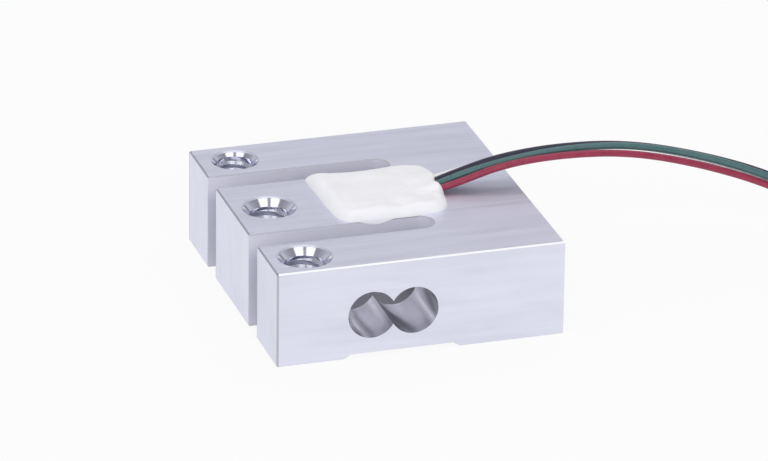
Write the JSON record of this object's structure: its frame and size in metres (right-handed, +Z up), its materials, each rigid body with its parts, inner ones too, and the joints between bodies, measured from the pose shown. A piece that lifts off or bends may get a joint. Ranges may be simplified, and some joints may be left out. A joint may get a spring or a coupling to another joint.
{
  "type": "single point load cell",
  "caption": "E-shaped aluminium load cell with a binocular bore, slotted fingers with tapped holes, white silicone over the gauges, and thin coloured leads",
  "frame": {"origin": "centre of the block's flat underside", "axes": "+X from the finger ends towards the lead exit, +Y across the three fingers, +Z up out of the gauged face"},
  "size_m": [0.1032, 0.04, 0.0165],
  "materials": {
    "block_metal": "fine brushed, bare",
    "white_silicone": "satin, moulded by hand",
    "gauge_film": "translucent amber film",
    "gauge_foil": "etched foil",
    "solder": "bright solder",
    "board": "glass-epoxy strip",
    "pad_copper": "tinned copper",
    "jumper_enamel": "enamelled copper",
    "red_insulation": "smooth PVC",
    "green_insulation": "smooth PVC",
    "black_insulation": "smooth PVC",
    "white_insulation": "smooth PVC",
    "lead_bundle": "four leads together",
    "tinned_copper": "twisted tinned strands",
    "tie_plastic": "coated wire tie"
  },
  "bodies": {
    "root": {"load_cell_body": "block_metal", "silicone_coating": "white_silicone", "left_gauge_carrier": "gauge_film", "right_gauge_carrier": "gauge_film", "left_gauge_grids": "gauge_foil", "right_gauge_grids": "gauge_foil", "gauge_solder": "solder", "left_gauge_jumpers": "jumper_enamel", "right_gauge_jumpers": "jumper_enamel", "terminal_strip": "board", "terminal_pads": "pad_copper", "terminal_solder": "solder", "lead_conductors": "tinned_copper", "red_lead": "red_insulation", "green_lead": "green_insulation", "black_lead": "black_insulation", "white_lead": "white_insulation", "lead_coil": "lead_bundle", "lead_tie": "tie_plastic", "red_lead_end": "tinned_copper", "green_lead_end": "tinned_copper", "black_lead_end": "tinned_copper", "white_lead_end": "tinned_copper"}
  },
  "joints": []
}
